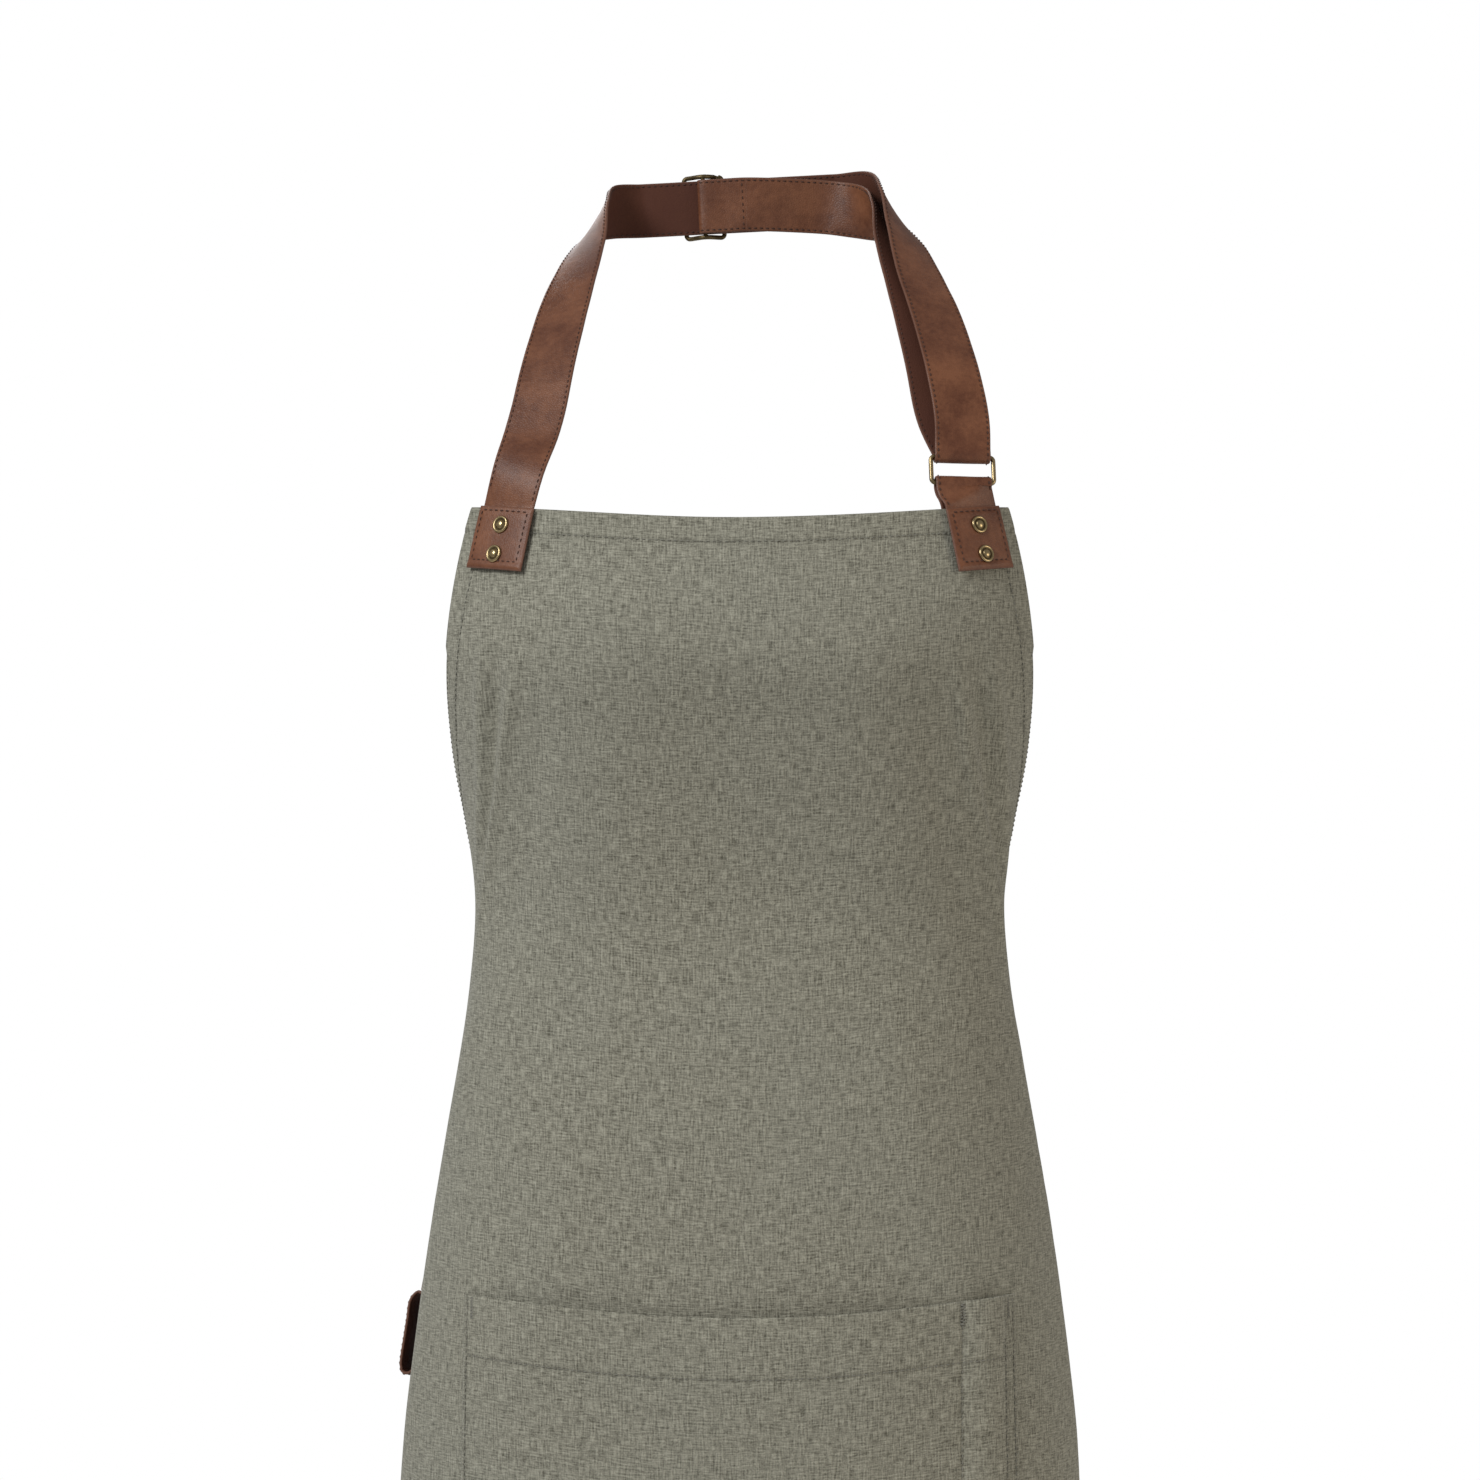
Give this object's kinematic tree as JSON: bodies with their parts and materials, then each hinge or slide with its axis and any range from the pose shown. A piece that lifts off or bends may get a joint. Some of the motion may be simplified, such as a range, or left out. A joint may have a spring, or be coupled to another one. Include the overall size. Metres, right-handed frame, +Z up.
{
  "type": "bib apron",
  "caption": "Full-length chambray bib apron with an adjustable leather neck strap, riveted corners, a front pocket with a pen slot, a towel loop and back ties.",
  "frame": {"origin": "middle of the neck strap behind the wearer's nape, where the apron hangs", "axes": "+Z up, the wearer faces -Y, +X at the right of someone who faces the wearer"},
  "size_m": [0.3546, 0.2356, 1.0327],
  "materials": {
    "chambray": "woven, slubby, matt",
    "brown_leather": "oiled, soft sheen",
    "antique_brass": "antiqued, dark in the hollows"
  },
  "bodies": {
    "apron": {"front_panel": "chambray", "left_armhole_facing": "chambray", "right_armhole_facing": "chambray", "front_pocket": "chambray", "left_waist_tie": "chambray", "right_waist_tie": "chambray", "bow_knot": "chambray", "bow_loop_left": "chambray", "bow_loop_right": "chambray", "left_patch": "brown_leather", "right_patch": "brown_leather", "left_backing": "brown_leather", "neck_strap": "brown_leather", "strap_ring_bight": "brown_leather", "strap_return_run": "brown_leather", "right_tab": "brown_leather", "towel_loop_root": "brown_leather", "left_rivet_cap_upper": "antique_brass", "left_rivet_cap_lower": "antique_brass", "left_rivet_back_upper": "antique_brass", "left_rivet_back_lower": "antique_brass", "right_rivet_cap_upper": "antique_brass", "right_rivet_cap_lower": "antique_brass", "right_rivet_back_upper": "antique_brass", "right_rivet_back_lower": "antique_brass"},
    "slider": {"strap_slider": "antique_brass", "strap_end_loop": "brown_leather"},
    "ring": {"rectangular_ring": "antique_brass"},
    "towel_loop": {"towel_loop": "brown_leather"},
    "left_tail": {"left_tie_tail": "chambray"},
    "right_tail": {"right_tie_tail": "chambray"}
  },
  "joints": [
    {"name": "slider_adjust", "type": "slide", "parent": "apron", "child": "slider", "axis": [0.9986, 0, 0.0523], "range_m": [-0.014, 0.04], "deforming": ["strap_return_run"]},
    {"name": "ring_swing", "type": "hinge", "parent": "apron", "child": "ring", "pos_m": [0.10641, -0.14459, -0.14815], "axis": [0.9822, 0.1876, -0.0122], "range_deg": [-15, 20], "deforming": ["strap_ring_bight"]},
    {"name": "towel_loop_swing", "type": "hinge", "parent": "apron", "child": "towel_loop", "pos_m": [-0.15547, -0.03839, -0.54584], "axis": [0.2971, 0.9339, -0.1988], "range_deg": [0, 75]},
    {"name": "left_tail_swing", "type": "hinge", "parent": "apron", "child": "left_tail", "pos_m": [-0.0195, 0.03176, -0.5052], "axis": [1, 0, 0], "range_deg": [-5, 75]},
    {"name": "right_tail_swing", "type": "hinge", "parent": "apron", "child": "right_tail", "pos_m": [0.0195, 0.03176, -0.5052], "axis": [1, 0, 0], "range_deg": [-5, 75]}
  ]
}
